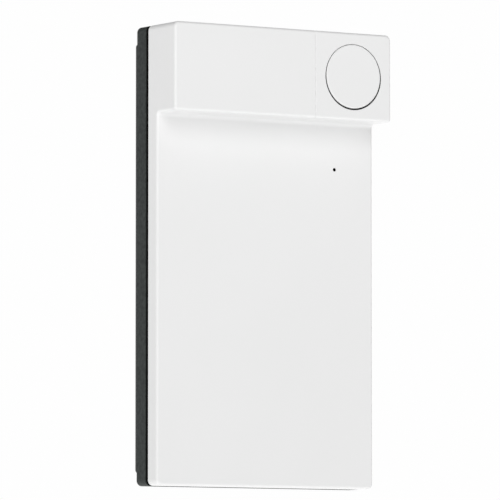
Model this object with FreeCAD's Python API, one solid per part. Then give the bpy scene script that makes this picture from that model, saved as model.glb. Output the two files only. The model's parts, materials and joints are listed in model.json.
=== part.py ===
"""Wall-mounted video doorbell: a flat white panel with a deep header along its top, a round push
button in the header's right-hand block, and a dark rear housing that hangs on a steel wall plate.

Millimetres. +X is to the visitor's right, +Z up, and the front looks along -Y.
The origin is on the wall face, half way across the unit and half way up it.
Each function makes one physical piece, or one group of equal pieces, and is a node of that name.
"""
import FreeCAD
import Part
import math
import os

V = FreeCAD.Vector

# ---------------------------------------------------------------- driving dimensions
WIDTH = 100.0
HEIGHT = 179.0
DEPTH = 29.5                  # wall face to the header's front face
HEADER_HEIGHT = 34.5
HEADER_PROUD = 13.35          # how far the header stands in front of the panel below it
COVER_DEPTH = 19.75           # header front to the back rim of the white cover
SHADOW_GAP = 1.85             # black joint between the white cover and the dark housing
BLOCK_WIDTH = 35.4            # the separate end block that carries the button
BUTTON_RADIUS = 12.65
BUTTON_GAP = 0.36             # mean gap round the button
BUTTON_HIGH = 0.24            # the button rides this much above the middle of its bore
BUTTON_PROUD = 0.15           # how far the cap stands out of the block's face
BUTTON_STEP = 1.2             # stop flange behind the face, wider than the cap
PINHOLE_RADIUS = 0.72
PINHOLE_BELOW_LEDGE = 18.6
SEAM = 0.04                   # hairline between header and end block
SEAM_CHAMFER = 0.24

WALL = 2.2                    # cover and housing side walls
FACE = 2.0                    # front faces of header and block
FLOOR = 1.6                   # back wall of the rear housing
PLATE = 0.8                   # sheet steel of the wall plate
BOARD = 1.6                   # printed circuit boards
CLEAR = 0.1                   # gap between pieces that only sit beside each other
CORNER = 2.2                  # corner radius seen from the front
EDGE = 1.0                    # rounding of the cover's outer edges
COVE = 1.9                    # fillet where the header's underside meets the panel

# ---------------------------------------------------------------- places that follow from them
HALF_W = WIDTH / 2
TOP = HEIGHT / 2
BOTTOM = -HEIGHT / 2
LEDGE = TOP - HEADER_HEIGHT
HEADER_Y = -DEPTH
PANEL_Y = HEADER_Y + HEADER_PROUD
COVER_BACK = HEADER_Y + COVER_DEPTH
HOUSING_FRONT = COVER_BACK + SHADOW_GAP
HOUSING_BACK = -PLATE
FLOOR_Y = HOUSING_BACK - FLOOR
PANEL_IN = PANEL_Y + WALL     # inner side of the panel's front wall
HEADER_IN = HEADER_Y + FACE
SEAM_X = HALF_W - BLOCK_WIDTH
BUTTON_X = HALF_W - BLOCK_WIDTH / 2
BUTTON_Z = TOP - HEADER_HEIGHT / 2
BORE_Z = BUTTON_Z - BUTTON_HIGH
PINHOLE_X = BUTTON_X - 0.3
PINHOLE_Z = LEDGE - PINHOLE_BELOW_LEDGE
PLINTH_Y = PANEL_Y - 2.05     # low plinth of the cover that the end block stands on

BOARD_BACK = -5.0
BOARD_FRONT = BOARD_BACK - BOARD
BOARD_HALF_W = 39.5
BOARD_TOP = 60.0
BOARD_BOTTOM = -46.0
BOARD_SCREWS = [(-34.0, -41.0), (34.0, -41.0), (-34.0, 55.0), (34.0, 55.0)]
COVER_SCREWS = [(-43.5, -83.0), (43.5, -83.0), (-43.5, 49.0), (43.5, 49.0)]
TONGUES_X = [-BUTTON_X, BUTTON_X]

WALL_SCREW_HALF_X = 30.0
WALL_SCREW_HALF_Z = 46.0
WALL_SCREW_RADIUS = 2.25
CABLE_Z = 46.0                # the cable opening sits over a standard round wall box
CABLE_HALF_W = 20.0
CABLE_HALF_H = 9.0
HOOKS = [(-36.0, 22.0), (36.0, 22.0), (-36.0, -56.0), (36.0, -56.0)]
HOOK_W = 8.0

SPEAKER_X, SPEAKER_Z = 0.0, -67.0
SPEAKER_R = 16.0

SWITCH_BOARD_FRONT = HEADER_Y + 9.6
SWITCH_BOARD_BACK = SWITCH_BOARD_FRONT + BOARD
SWITCH_TOP = SWITCH_BOARD_FRONT - 4.0
PLUNGER_TIP = SWITCH_BOARD_FRONT - 5.6
PLUNGER_LENGTH = 3.0
SPRING_OUTER, SPRING_INNER = 5.7, 5.1
CAP_WEB = 2.3                 # face of the cap and its stiffening ribs together
RIB_REACH = 11.2
RIBBON_X = BUTTON_X - 6.5

MIC_X, MIC_Y = -32.0, -22.0
SOUND_SLOTS = 6
SOUND_PITCH = 2.4
SLOT_HALF_W = 0.6
LATCH_X, LATCH_Y = -30.0, -4.0
LATCH_HALF_W = 7.0
KEY_RADIUS = 0.9              # six-sided socket of the security screw
PLATE_HALF_W = HALF_W - 0.15
PLATE_TOP = TOP - 6.4
PLATE_BOTTOM = BOTTOM + 4.9
TERMINAL_WAYS = 6
TERMINAL_PITCH = 5.6
BLOCK_SCREWS = [(BUTTON_X + sx * 12.5, BUTTON_Z + sz * 12.0) for sx in (-1, 1) for sz in (-1, 1)]


# ---------------------------------------------------------------- small helpers
def box(x0, x1, y0, y1, z0, z1):
    return Part.makeBox(x1 - x0, y1 - y0, z1 - z0, V(x0, y0, z0))


def rod_y(x, z, radius, y0, y1):
    """A round bar along Y."""
    return Part.makeCylinder(radius, y1 - y0, V(x, y0, z), V(0, 1, 0))


def tube_y(x, z, outer, inner, y0, y1):
    return rod_y(x, z, outer, y0, y1).cut(rod_y(x, z, inner, y0 - 1, y1 + 1))


def rod_z(x, y, radius, z0, z1):
    return Part.makeCylinder(radius, z1 - z0, V(x, y, z0), V(0, 0, 1))


def cone_y(x, z, r0, r1, y0, y1):
    """A cone along Y, of radius r0 at y0 and r1 at y1."""
    return Part.makeCone(r0, r1, y1 - y0, V(x, y0, z), V(0, 1, 0))


def round_box(x0, x1, y0, y1, z0, z1, radius):
    """A box whose four edges along Y are rounded."""
    solid = box(x0, x1, y0, y1, z0, z1)
    edges = [e for e in solid.Edges if runs_along(e, V(0, 1, 0))]
    return solid.makeFillet(radius, edges)


def runs_along(edge, direction):
    if not isinstance(edge.Curve, Part.Line):
        return False
    return abs(edge.tangentAt(edge.FirstParameter).dot(direction)) > 0.9999


def join(first, *others):
    solid = first.multiFuse(list(others)) if others else first
    return solid.removeSplitter()


def cut(first, *others):
    return first.cut(list(others)) if others else first


def clean(shape):
    """The largest solid of a boolean's result, as one plain solid."""
    solids = sorted(shape.Solids, key=lambda s: s.Volume)
    return solids[-1]


def polygon_prism(points, direction):
    """A straight prism of a closed outline of 3-D points."""
    wire = Part.makePolygon([V(*p) for p in points] + [V(*points[0])])
    return Part.Face(wire).extrude(V(*direction))


def bent_tube(points, radius, bend):
    """A wire of straight runs joined by tangent arcs, of one bend radius."""
    pts = [V(*p) for p in points]
    edges, start = [], pts[0]
    for before, corner, after in zip(pts, pts[1:], pts[2:]):
        inward, outward = (corner - before).normalize(), (after - corner).normalize()
        turn = inward.getAngle(outward)
        back = bend * math.tan(turn / 2)
        first, last = corner - inward * back, corner + outward * back
        middle_dir = (outward - inward).normalize()
        reach = bend / math.cos(turn / 2) - bend
        edges.append(Part.makeLine(start, first))
        edges.append(Part.Arc(first, corner + middle_dir * reach, last).toShape())
        start = last
    edges.append(Part.makeLine(start, pts[-1]))
    path = Part.Wire(edges)
    ring = Part.Wire(Part.makeCircle(radius, pts[0], (pts[1] - pts[0]).normalize()))
    return path.makePipeShell([ring], True, False)


# ---------------------------------------------------------------- the white shell
def outer_form():
    """The whole white outside, header and block together, before it is split and hollowed."""
    s = math.sqrt(0.5)
    cove_mid = V(0, PANEL_Y - COVE + COVE * s, LEDGE - COVE + COVE * s)
    a, b = V(0, COVER_BACK, BOTTOM), V(0, PANEL_Y, BOTTOM)
    c, d = V(0, PANEL_Y, LEDGE - COVE), V(0, PANEL_Y - COVE, LEDGE)
    e, f, g = V(0, HEADER_Y, LEDGE), V(0, HEADER_Y, TOP), V(0, COVER_BACK, TOP)
    edges = [Part.makeLine(a, b), Part.makeLine(b, c), Part.Arc(c, cove_mid, d).toShape(),
             Part.makeLine(d, e), Part.makeLine(e, f), Part.makeLine(f, g), Part.makeLine(g, a)]
    face = Part.Face(Part.Wire(edges))
    face.translate(V(-HALF_W, 0, 0))
    solid = face.extrude(V(WIDTH, 0, 0))
    corners = [x for x in solid.Edges
               if abs(abs(x.CenterOfMass.x) - HALF_W) < 1e-6
               and abs(abs(x.CenterOfMass.z) - TOP) < 1e-6 and runs_along(x, V(0, 1, 0))]
    solid = solid.makeFillet(CORNER, corners)
    soft = [x for x in solid.Edges if is_outer_edge(x)]
    return solid.makeFillet(EDGE, soft)


def is_outer_edge(edge):
    """True for the edges that a finger meets: the front outlines, the cove's ends, the ledge's ends."""
    c, b = edge.CenterOfMass, edge.BoundBox
    if b.YMax > COVER_BACK - 1:
        return False
    at_side = abs(abs(c.x) - HALF_W) < 1e-6
    along_x = runs_along(edge, V(1, 0, 0))
    on_header = abs(c.y - HEADER_Y) < 1e-6
    on_panel = abs(c.y - PANEL_Y) < 1e-6 and c.z < LEDGE - COVE - 1
    if along_x:
        return on_header or (on_panel and c.z < BOTTOM + 1)
    return at_side or on_header or on_panel


def header_end(y_back, seam):
    """The space right of the seam and in front of the plinth, where the end block goes."""
    return box(SEAM_X + seam, HALF_W + 5, HEADER_Y - 5, y_back, LEDGE - 5, TOP + 5)


def chamfer_seam(solid, x_seam, size):
    """Break the thin edges along the seam so that they catch a line of light."""
    edges = []
    for edge in solid.Edges:
        b = edge.BoundBox
        flat = abs(b.XMin - x_seam) < 1e-4 and abs(b.XMax - x_seam) < 1e-4
        c = edge.CenterOfMass
        outside = c.y < HEADER_Y + 1.2 or c.z > TOP - 0.1 or abs(c.z - LEDGE) < 0.1
        if flat and outside and c.y < PLINTH_Y - 0.5:
            edges.append(edge)
    return solid.makeChamfer(size, edges)


def front_cover():
    """The white moulding: panel and header in one, open at the back."""
    outer = outer_form().cut(header_end(PLINTH_Y, 0.0))
    outer = chamfer_seam(clean(outer), SEAM_X, SEAM_CHAMFER)
    cavity = round_box(-HALF_W + WALL, HALF_W - WALL, PANEL_IN, 0, BOTTOM + WALL, TOP - WALL, 1.2)
    header_cavity = box(-HALF_W + WALL, SEAM_X - WALL, HEADER_IN, PANEL_IN + 1,
                        LEDGE + WALL, TOP - WALL)
    cover = cut(outer, cavity, header_cavity)
    bosses = []
    for x, z in COVER_SCREWS:
        sign = 1 if x > 0 else -1
        bosses.append(rod_y(x, z, 3.2, PANEL_IN - 0.2, -4.6))
        side = sorted((x, sign * (HALF_W - WALL + 0.3)))
        bosses.append(box(side[0], side[1], PANEL_IN - 0.2, COVER_BACK - 1.0, z - 0.7, z + 0.7))
    for x in TONGUES_X:
        bosses.append(box(x - 5, x + 5, -12.0, COVER_BACK, TOP - WALL - 2.4, TOP - WALL + 0.3))
        bosses.append(box(x - 5, x + 5, COVER_BACK - 0.1, -4.2, TOP - WALL - 2.4, TOP - WALL - 0.9))
        bosses.append(box(x - 5, x + 5, -5.6, -4.2, TOP - WALL - 1.0, TOP - WALL + 0.1))
    for z in (-60.0, -30.0, 0.0, 22.0):
        bosses.append(box(-HALF_W + WALL - 0.2, HALF_W - WALL + 0.2, PANEL_IN - 0.2,
                          PANEL_IN + 0.5, z - 0.5, z + 0.5))
    # a tube behind the pin-hole centres the camera's nose
    bosses.append(rod_y(PINHOLE_X, PINHOLE_Z, 5.6, PANEL_IN - 0.2, PANEL_IN + 2.4))
    # a pocket in the header's bottom wall takes the microphone's rubber boot
    bosses.append(rod_z(MIC_X, MIC_Y, 5.2, LEDGE + WALL - 0.2, LEDGE + WALL + 4.0))
    cover = join(cover, *bosses)
    holes = [rod_y(x, z, 1.5, -11.8, 0) for x, z in COVER_SCREWS]
    holes += [rod_y(x, z, 1.35, SWITCH_BOARD_BACK - 1, 0) for x, z in BLOCK_SCREWS]
    holes.append(rod_y(PINHOLE_X, PINHOLE_Z, PINHOLE_RADIUS, PANEL_Y - 1, PANEL_IN + 3))
    holes.append(cone_y(PINHOLE_X, PINHOLE_Z, PINHOLE_RADIUS, 1.9, PANEL_Y + 0.5, PANEL_IN - 0.3))
    holes.append(rod_y(PINHOLE_X, PINHOLE_Z, 4.4, PANEL_IN - 0.3, PANEL_IN + 3))
    holes.append(rod_z(MIC_X, MIC_Y, 0.5, LEDGE - 1, LEDGE + 4))
    holes.append(rod_z(MIC_X, MIC_Y, 4.1, LEDGE + 1.2, LEDGE + WALL + 5))
    # the ribbon cable passes behind the end block through this window
    holes.append(round_box(RIBBON_X - 5.5, RIBBON_X + 5.5, PLINTH_Y - 1, PANEL_IN + 1,
                           BUTTON_Z - 4, BUTTON_Z + 4, 1.5))
    # inside the plinth the end block is open to the panel's wall
    holes.append(box(SEAM_X + FACE, HALF_W - FACE, PLINTH_Y - 1, PANEL_Y, LEDGE + FACE, TOP - FACE))
    cover = cut(cover, *holes)
    # the pillars under the switch board stand inside that opening, so they are added last
    pillars = [tube_y(x, z, 2.7, 1.35, SWITCH_BOARD_BACK, PANEL_Y + 0.5) for x, z in BLOCK_SCREWS]
    return clean(join(cover, *pillars))


def button_block():
    """The square end block of the header: a five-sided cap with the button's round bore."""
    outer = outer_form().common(header_end(PLINTH_Y - CLEAR, SEAM))
    outer = chamfer_seam(clean(outer), SEAM_X + SEAM, SEAM_CHAMFER)
    left, right = SEAM_X + SEAM + FACE, HALF_W - FACE
    inside = box(left, right, HEADER_IN, 0, LEDGE + FACE, TOP - FACE)
    block = cut(outer, inside)
    collar = rod_y(BUTTON_X, BUTTON_Z, BUTTON_RADIUS + 2.6, HEADER_IN - 0.2, HEADER_IN + 4.2)
    bosses = [rod_y(x, z, 2.6, HEADER_IN - 0.2, SWITCH_BOARD_FRONT) for x, z in BLOCK_SCREWS]
    block = join(block, collar.common(outer), *bosses)
    bore_r = BUTTON_RADIUS + BUTTON_GAP
    lip = bore_r + 0.12
    holes = [rod_y(BUTTON_X, BORE_Z, bore_r, HEADER_Y - 1, HEADER_IN + 1),
             rod_y(BUTTON_X, BUTTON_Z, BUTTON_RADIUS + 1.6, HEADER_IN, HEADER_IN + 5),
             cone_y(BUTTON_X, BORE_Z, lip, bore_r, HEADER_Y, HEADER_Y + 0.12)]
    # two grooves keep the button from turning
    for side in (-1, 1):
        x = BUTTON_X + side * (BUTTON_RADIUS + 1.9)
        holes.append(box(x - 1.1, x + 1.1, HEADER_IN, HEADER_IN + 5, BUTTON_Z - 1.6, BUTTON_Z + 1.6))
    holes += [rod_y(x, z, 1.22, HEADER_IN + 3.0, 0) for x, z in BLOCK_SCREWS]
    return clean(cut(block, *holes))


def push_button():
    """The round white cap: skirt, stop flange, two keys and a post that works the switch."""
    front = HEADER_Y - BUTTON_PROUD
    disc = rod_y(BUTTON_X, BUTTON_Z, BUTTON_RADIUS, front, front + 6.0)
    rim = [e for e in disc.Edges if abs(e.CenterOfMass.y - front) < 1e-6]
    disc = disc.makeFillet(0.5, rim)
    flange_front = HEADER_IN + 0.05
    flange = rod_y(BUTTON_X, BUTTON_Z, BUTTON_RADIUS + BUTTON_STEP, flange_front, flange_front + 1.3)
    middles = [BUTTON_X + side * (BUTTON_RADIUS + 1.7) for side in (-1, 1)]
    keys = [box(x - 0.9, x + 0.9, flange_front, flange_front + 1.3, BUTTON_Z - 1.4, BUTTON_Z + 1.4)
            for x in middles]
    hollow = rod_y(BUTTON_X, BUTTON_Z, BUTTON_RADIUS - 1.6, front + 1.8, 0)
    cap = cut(join(disc, flange, *keys), hollow)
    post = rod_y(BUTTON_X, BUTTON_Z, 2.4, front + 1.6, PLUNGER_TIP - 0.05)
    rib_y = (front + 1.6, front + CAP_WEB)
    ribs = [box(BUTTON_X - RIB_REACH, BUTTON_X + RIB_REACH, *rib_y, BUTTON_Z - 0.5, BUTTON_Z + 0.5),
            box(BUTTON_X - 0.5, BUTTON_X + 0.5, *rib_y, BUTTON_Z - RIB_REACH, BUTTON_Z + RIB_REACH)]
    return clean(join(cap, post, *ribs))


# ---------------------------------------------------------------- the switch behind the button

def button_spring():
    """The room the return spring takes between the cap's ribs and the switch board: a thin sleeve."""
    return tube_y(BUTTON_X, BUTTON_Z, SPRING_OUTER, SPRING_INNER,
                  HEADER_Y - BUTTON_PROUD + CAP_WEB, SWITCH_BOARD_FRONT)


def switch_body():
    """Square tactile switch on the switch board, with a bore for its plunger."""
    body = box(BUTTON_X - 3.0, BUTTON_X + 3.0, SWITCH_TOP, SWITCH_BOARD_FRONT, BUTTON_Z - 3.0, BUTTON_Z + 3.0)
    body = body.makeChamfer(0.3, [e for e in body.Edges if abs(e.CenterOfMass.y - SWITCH_TOP) < 1e-6])
    return clean(cut(body, rod_y(BUTTON_X, BUTTON_Z, 1.75, SWITCH_TOP - 1, SWITCH_TOP + 2.8)))


def switch_plunger():
    rod = rod_y(BUTTON_X, BUTTON_Z, 1.7, PLUNGER_TIP, PLUNGER_TIP + PLUNGER_LENGTH)
    return rod.makeChamfer(0.2, [e for e in rod.Edges if abs(e.CenterOfMass.y - PLUNGER_TIP) < 1e-6])


def switch_board():
    board = round_box(BUTTON_X - 15.2, BUTTON_X + 15.2, SWITCH_BOARD_FRONT, SWITCH_BOARD_BACK,
                      BUTTON_Z - 14.8, BUTTON_Z + 14.8, 1.5)
    return clean(cut(board, *[rod_y(x, z, 1.35, SWITCH_BOARD_FRONT - 1, SWITCH_BOARD_BACK + 1)
                              for x, z in BLOCK_SCREWS]))


def pan_screw(x, z, head_y, radius, length, head_radius, head_height, drive):
    """A pan-head screw along -Y whose head stands behind the plane head_y, with a cross drive."""
    head = rod_y(x, z, head_radius, head_y, head_y + head_height)
    head = head.makeFillet(head_height * 0.4, [e for e in head.Edges
                                               if abs(e.CenterOfMass.y - head_y - head_height) < 1e-6])
    shank = rod_y(x, z, radius, head_y - length, head_y)
    tip = [e for e in shank.Edges if abs(e.CenterOfMass.y - head_y + length) < 1e-6]
    shank = shank.makeChamfer(radius * 0.3, tip)
    recess = (head_y + head_height * 0.45, head_y + head_height + 1)
    cross = [box(x - drive, x + drive, *recess, z - 0.25, z + 0.25),
             box(x - 0.25, x + 0.25, *recess, z - drive, z + drive)]
    return clean(cut(join(head, shank), *cross))


def block_screws():
    """Four screws that clamp the end block and the switch board to the cover, from behind."""
    return Part.makeCompound([pan_screw(x, z, PANEL_IN, 1.15, 10.3, 2.3, 1.5, 1.3) for x, z in BLOCK_SCREWS])


# ---------------------------------------------------------------- the dark rear half
def rear_housing():
    """The anthracite tray: floor, side walls, standoffs, hook slots, cable window and sound slots."""
    tray = round_box(-HALF_W, HALF_W, HOUSING_FRONT, HOUSING_BACK, BOTTOM, TOP, CORNER)
    rim = [e for e in tray.Edges if abs(e.BoundBox.YMin - HOUSING_FRONT) < 1e-6
           and abs(e.BoundBox.YMax - HOUSING_FRONT) < 1e-6]
    tray = tray.makeChamfer(0.3, rim)
    back = [e for e in tray.Edges if abs(e.BoundBox.YMin - HOUSING_BACK) < 1e-6
            and abs(e.BoundBox.YMax - HOUSING_BACK) < 1e-6]
    tray = tray.makeFillet(0.6, back)
    inside = round_box(-HALF_W + WALL, HALF_W - WALL, HOUSING_FRONT - 1, FLOOR_Y,
                       BOTTOM + WALL, TOP - WALL, 1.0)
    tray = cut(tray, inside)
    adds = [rod_y(x, z, 3.9, -4.5, FLOOR_Y + 0.2) for x, z in COVER_SCREWS]
    adds += [rod_y(x, z, 3.0, BOARD_BACK, FLOOR_Y + 0.2) for x, z in BOARD_SCREWS]
    ring = tube_y(SPEAKER_X, SPEAKER_Z, SPEAKER_R + 0.6, SPEAKER_R - 1.4, -5.2, FLOOR_Y + 0.2)
    mouth = box(SPEAKER_X - 8, SPEAKER_X + 8, -8, FLOOR_Y, SPEAKER_Z - 30, SPEAKER_Z)
    adds.append(cut(ring, mouth))
    for side in (-1, 1):
        x = SPEAKER_X + side * 8.7
        adds.append(box(x - 0.7, x + 0.7, -5.2, FLOOR_Y + 0.2, BOTTOM + WALL - 0.2,
                        SPEAKER_Z - math.sqrt((SPEAKER_R - 0.5) ** 2 - 8.7 ** 2)))
    for side in (-1, 1):
        x = side * (HALF_W - WALL - 3)
        adds.append(box(min(x, side * (HALF_W - WALL + 0.2)), max(x, side * (HALF_W - WALL + 0.2)),
                        -5.5, FLOOR_Y + 0.2, -10.6, -9.4))
    tray = join(tray, *adds)
    cuts = []
    for x, z in COVER_SCREWS:
        cuts += [rod_y(x, z, 3.0, -2.7, 0), rod_y(x, z, 1.6, -6, 0)]
    cuts += [rod_y(x, z, 1.25, -6, -2.9) for x, z in BOARD_SCREWS]
    cuts.append(round_box(-CABLE_HALF_W, CABLE_HALF_W, -6, 1, CABLE_Z - CABLE_HALF_H,
                          CABLE_Z + CABLE_HALF_H, 2.0))
    seal = round_box(-CABLE_HALF_W - 3.1, CABLE_HALF_W + 3.1, -1.75, 0, CABLE_Z - CABLE_HALF_H - 3.1,
                     CABLE_Z + CABLE_HALF_H + 3.1, 3.0)
    seal = cut(seal, round_box(-CABLE_HALF_W - 0.9, CABLE_HALF_W + 0.9, -3, 1, CABLE_Z - CABLE_HALF_H - 0.9,
                               CABLE_Z + CABLE_HALF_H + 0.9, 2.4))
    cuts.append(seal)
    for x, z in HOOKS:
        cuts.append(round_box(x - HOOK_W / 2 - 0.5, x + HOOK_W / 2 + 0.5, -5, 1, z - 6.0, z + 0.7, 0.8))
    cuts.append(round_box(-LATCH_HALF_W - 0.5, LATCH_HALF_W + 0.5, -4.5, 1, BOTTOM + WALL + 0.2,
                          BOTTOM + WALL + 6.5, 0.6).translated(V(LATCH_X, 0, 0)))
    cuts.append(rod_z(LATCH_X, LATCH_Y, 1.7, BOTTOM - 1, BOTTOM + WALL + 1))
    cuts.append(rod_z(LATCH_X, LATCH_Y, 2.2, BOTTOM - 1, BOTTOM + 0.9))
    for x in TONGUES_X:
        cuts.append(box(x - 5.5, x + 5.5, -6.1, -3.6, TOP - WALL - 0.5, TOP - WALL + 1.0))
    for i in range(SOUND_SLOTS):
        x = SPEAKER_X + (i - (SOUND_SLOTS - 1) / 2) * SOUND_PITCH
        cuts.append(box(x - SLOT_HALF_W, x + SLOT_HALF_W, -6.0, -3.0, BOTTOM - 1, BOTTOM + WALL + 1))
    return clean(cut(tray, *cuts))


def perimeter_gasket():
    """Black rubber ring squeezed between the cover's rim and the housing's rim."""
    out, thick = HALF_W - 1.2, 1.2
    ring = round_box(-out, out, COVER_BACK, HOUSING_FRONT, BOTTOM + 1.2, TOP - 1.2, 1.6)
    hole = round_box(-out + thick, out - thick, COVER_BACK - 1, HOUSING_FRONT + 1,
                     BOTTOM + 1.2 + thick, TOP - 1.2 - thick, 0.8)
    gap = [box(x - 5.5, x + 5.5, COVER_BACK - 1, HOUSING_FRONT + 1, TOP - WALL - 2.5, TOP - WALL - 0.7)
           for x in TONGUES_X]
    return clean(cut(ring, hole, *gap))


def cover_screws():
    """Four countersunk-in screws through the housing's floor into the cover's bosses."""
    return Part.makeCompound([pan_screw(x, z, -2.7, 1.45, 8.4, 2.7, 1.5, 1.5) for x, z in COVER_SCREWS])


def window_seal():
    """Rubber ring round the cable window, squeezed against the wall plate."""
    g = 3.0
    outer = round_box(-CABLE_HALF_W - g, CABLE_HALF_W + g, -1.7, -PLATE, CABLE_Z - CABLE_HALF_H - g,
                      CABLE_Z + CABLE_HALF_H + g, 2.9)
    inner = round_box(-CABLE_HALF_W - 1, CABLE_HALF_W + 1, -3, 1, CABLE_Z - CABLE_HALF_H - 1,
                      CABLE_Z + CABLE_HALF_H + 1, 2.5)
    return clean(cut(outer, inner))


def wall_plate():
    """Sheet steel plate screwed to the wall, with four bent hooks and a threaded latch tab."""
    plate = round_box(-PLATE_HALF_W, PLATE_HALF_W, -PLATE, 0, PLATE_BOTTOM, PLATE_TOP, 1.5)
    adds, cuts = [], []
    for x, z in HOOKS:
        # the neck rises from the sheet, the lip points up behind the housing's floor
        adds.append(box(x - HOOK_W / 2, x + HOOK_W / 2, -3.6, -PLATE + 0.2, z - 0.9, z))
        adds.append(box(x - HOOK_W / 2, x + HOOK_W / 2, -3.6, -2.65, z - 0.9, z + 2.6))
        cuts.append(box(x - HOOK_W / 2 - 0.6, x + HOOK_W / 2 + 0.6, -2, 1, z + 0.02, z + 4.6))
    latch_z = BOTTOM + WALL + 0.6
    adds.append(box(LATCH_X - LATCH_HALF_W, LATCH_X + LATCH_HALF_W, -6.0, -PLATE + 0.2,
                    latch_z + 2.0, latch_z + 3.2))
    adds.append(rod_z(LATCH_X, LATCH_Y, 2.4, latch_z + 0.6, latch_z + 2.1))
    for x in (-WALL_SCREW_HALF_X, WALL_SCREW_HALF_X):
        for z in (-WALL_SCREW_HALF_Z, WALL_SCREW_HALF_Z):
            cuts.append(rod_y(x, z, WALL_SCREW_RADIUS, -5, 5))
    cuts.append(round_box(-CABLE_HALF_W, CABLE_HALF_W, -5, 5, CABLE_Z - CABLE_HALF_H - 3,
                          CABLE_Z + CABLE_HALF_H, 3.0))
    plate = join(plate, *adds)
    cuts.append(rod_z(LATCH_X, LATCH_Y, 1.3, latch_z - 1, latch_z + 5))
    return clean(cut(plate, *cuts))


def security_screw():
    """Small screw up through the housing's underside into the wall plate's latch tab."""
    z0 = BOTTOM + 0.1
    head = rod_z(LATCH_X, LATCH_Y, 2.1, z0, z0 + 0.75)
    shank = rod_z(LATCH_X, LATCH_Y, 1.25, z0 + 0.7, z0 + 7.0)
    corners = [math.radians(60 * i) for i in range(7)]
    drive = Part.makePolygon([V(LATCH_X + KEY_RADIUS * math.cos(a), LATCH_Y + KEY_RADIUS * math.sin(a),
                                z0 - 1) for a in corners])
    return clean(cut(join(head, shank), Part.Face(drive).extrude(V(0, 0, 1.5))))


# ---------------------------------------------------------------- main board and what stands on it
def main_board():
    board = box(-BOARD_HALF_W, BOARD_HALF_W, BOARD_FRONT, BOARD_BACK, BOARD_BOTTOM, BOARD_TOP)
    board = join(board, box(-BOARD_HALF_W, 14, BOARD_FRONT, BOARD_BACK, BOARD_TOP - 1, TOP - 9))
    corners = [e for e in board.Edges if runs_along(e, V(0, 1, 0))]
    board = board.makeFillet(1.5, corners)
    cuts = [rod_y(x, z, 1.4, -9, 0) for x, z in BOARD_SCREWS]
    cuts.append(box(-CABLE_HALF_W + 1, CABLE_HALF_W - 1, -9, 0, CABLE_Z - 7.5, CABLE_Z + 7.5))
    for x, z in HOOKS:
        cuts.append(round_box(x - 5, x + 5, -9, 0, z - 6, z + 3.2, 1.0))
    return clean(cut(board, *cuts))


def board_screws():
    """Screws that hold the main board on the housing's standoffs, heads to the front."""
    screws = []
    for x, z in BOARD_SCREWS:
        screw = pan_screw(x, z, 0, 1.2, 3.6, 2.3, 1.4, 1.3)
        screw.rotate(V(x, 0, z), V(0, 0, 1), 180)
        screw.translate(V(0, BOARD_FRONT, 0))
        screws.append(screw)
    return Part.makeCompound(screws)


def on_board(x, z, width, height, tall):
    """A square part standing on the main board's front side."""
    return box(x - width / 2, x + width / 2, BOARD_FRONT - tall, BOARD_FRONT, z - height / 2, z + height / 2)


def processor_shield():
    """Stamped tin can over the processor and memory."""
    can = on_board(2, -14, 28, 24, 2.6)
    can = can.makeFillet(0.6, [e for e in can.Edges if abs(e.CenterOfMass.y - BOARD_FRONT + 2.6) < 1e-6
                               or runs_along(e, V(0, 1, 0))])
    can = cut(can, on_board(2, -14, 27.4, 23.4, 2.3))
    vents = [rod_y(2 + dx, -14 + dz, 0.6, BOARD_FRONT - 4, BOARD_FRONT - 1)
             for dx in (-6, -2, 2, 6) for dz in (-4, 0, 4)]
    return clean(cut(can, *vents))


def processor_chip():
    return on_board(2, -14, 14, 14, 1.4)


def radio_module():
    """Wireless network module in its own can, next to the aerial socket."""
    module = on_board(-29, 70, 16, 12, 2.4)
    front = [e for e in module.Edges if abs(e.CenterOfMass.y - BOARD_FRONT + 2.4) < 1e-6]
    return module.makeFillet(0.4, front)


def board_chips():
    places = [(-22, -12, 9, 9, 1.0), (-22, -26, 6, 8, 1.2), (-10, -36, 6, 5, 1.1), (24, -34, 8, 6, 1.2),
              (-14, 14, 7, 7, 1.0), (12, 12, 10, 6, 1.2), (24, 4, 5, 5, 0.9), (22, -20, 5, 7, 1.0)]
    return Part.makeCompound([on_board(*p) for p in places])


def power_capacitors():
    """Round electrolytic capacitors of the power input."""
    cans = []
    for x, z in ((-33, 6), (-33, -4), (-24, 6)):
        foot = on_board(x, z, 8, 8, 0.6)
        can = rod_y(x, z, 3.9, BOARD_FRONT - 5.6, BOARD_FRONT - 0.5)
        can = can.makeFillet(0.5, [e for e in can.Edges if abs(e.CenterOfMass.y - BOARD_FRONT + 5.6) < 1e-6])
        cans.append(clean(join(foot, can)))
    return Part.makeCompound(cans)


def power_transformer():
    """Potted transformer of the power input: tall, so it stands in the header."""
    core = on_board(1, 70, 16, 14, 11)
    bobbin = join(on_board(1, 70, 20, 9, 6), on_board(1, 70, 11, 16, 8.5))
    return clean(join(core, bobbin))


def wire_connectors():
    """Sockets for the speaker, the microphone and the ribbon cable."""
    return Part.makeCompound([on_board(-6, -41.5, 8, 5, 4.5), on_board(-15.5, 77.5, 7, 5, 4.0),
                              on_board(RIBBON_X, 57.5, 11, 4, 2.0)])


# ---------------------------------------------------------------- camera
def camera_board_socket():
    """Square socket that carries the camera on the main board."""
    outer = on_board(PINHOLE_X, PINHOLE_Z, 9.5, 9.5, 2.4)
    return clean(cut(outer, rod_y(PINHOLE_X, PINHOLE_Z, 3.3, BOARD_FRONT - 3, BOARD_FRONT + 1)))


def image_sensor():
    return on_board(PINHOLE_X, PINHOLE_Z, 5, 4, 0.9)


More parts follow.
